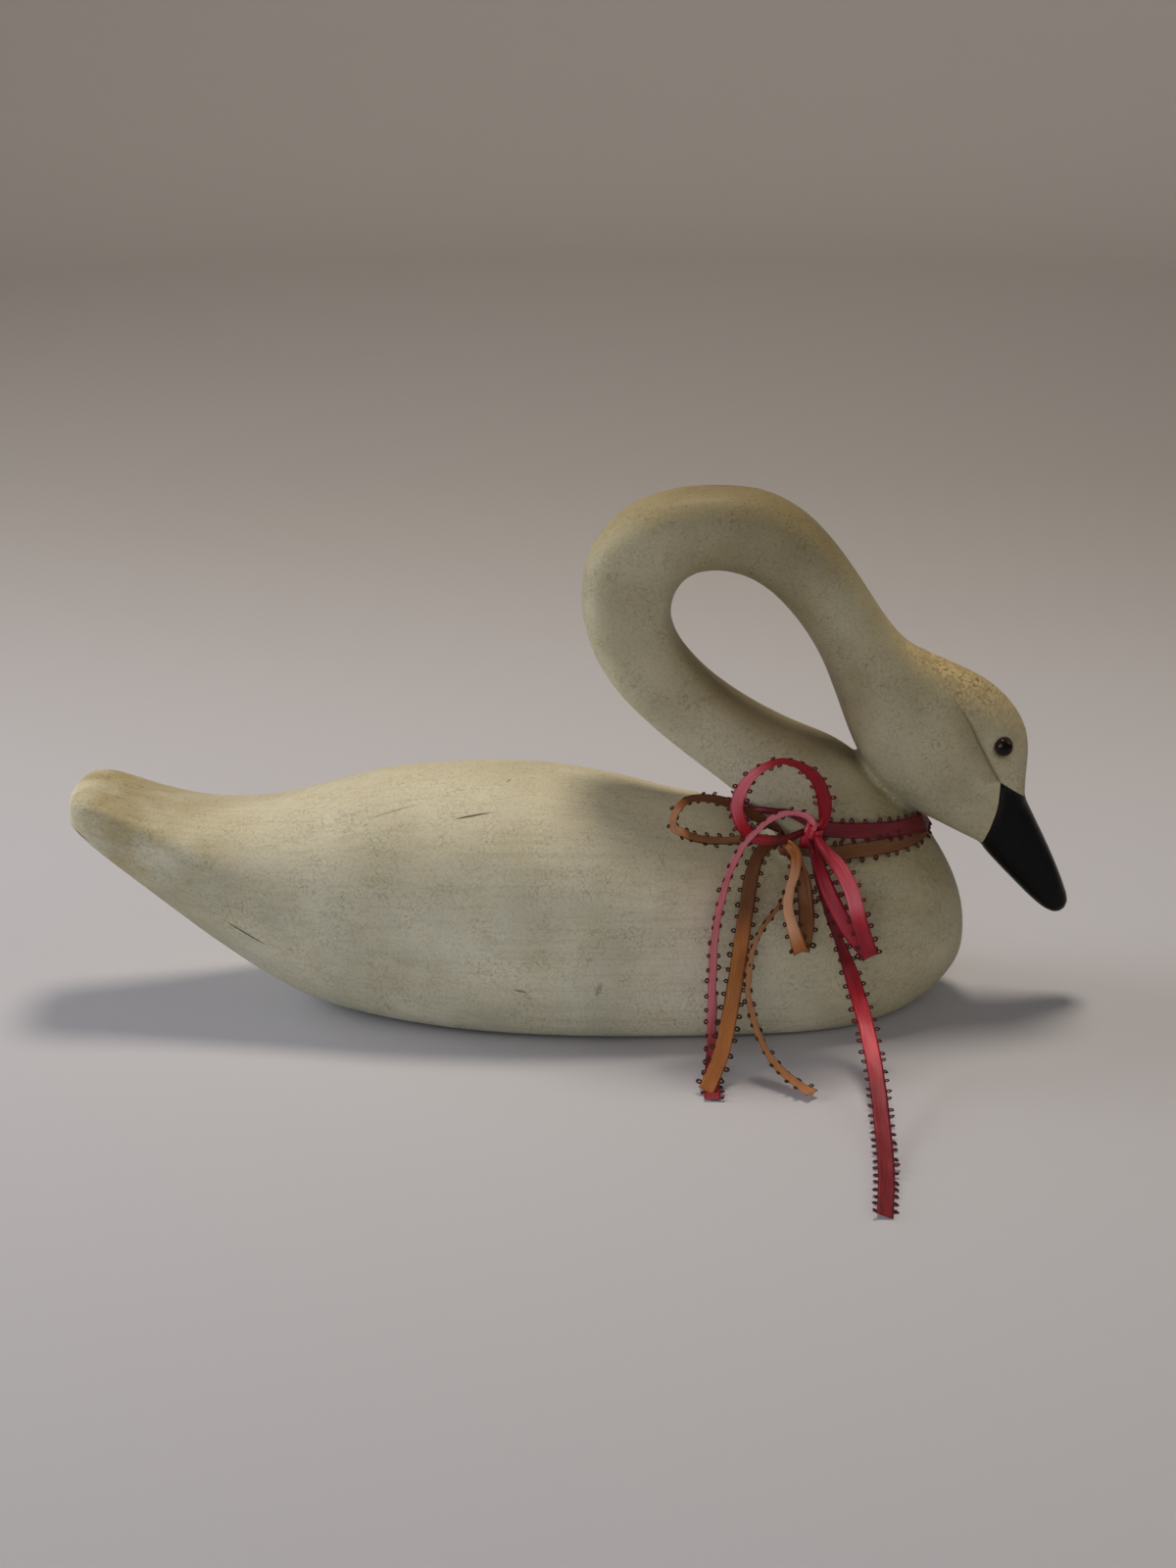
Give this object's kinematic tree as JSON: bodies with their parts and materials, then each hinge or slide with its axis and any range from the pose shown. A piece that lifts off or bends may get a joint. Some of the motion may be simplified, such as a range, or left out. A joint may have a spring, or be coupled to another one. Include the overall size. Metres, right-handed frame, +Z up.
{
  "type": "swan figurine",
  "caption": "Carved, painted swan with its neck looped round to the breast, glass eyes, and two picot-edged ribbons tied in a bow at the neck.",
  "frame": {"origin": "middle of the flat under side, on the plane that halves the swan", "axes": "+X towards the bill, +Z up, -Y towards the side with the bow, which is the swan's right"},
  "size_m": [0.3915, 0.2395, 0.2067],
  "materials": {
    "painted_wood": "aged cream paint, satin; near-black bill",
    "dark_glass": "polished, opaque",
    "red_satin": "satin ribbon",
    "gold_satin": "satin ribbon"
  },
  "bodies": {
    "root": {"swan_carving": "painted_wood", "eye_right": "dark_glass", "eye_left": "dark_glass", "red_ribbon": "red_satin", "gold_ribbon": "gold_satin"}
  },
  "joints": []
}
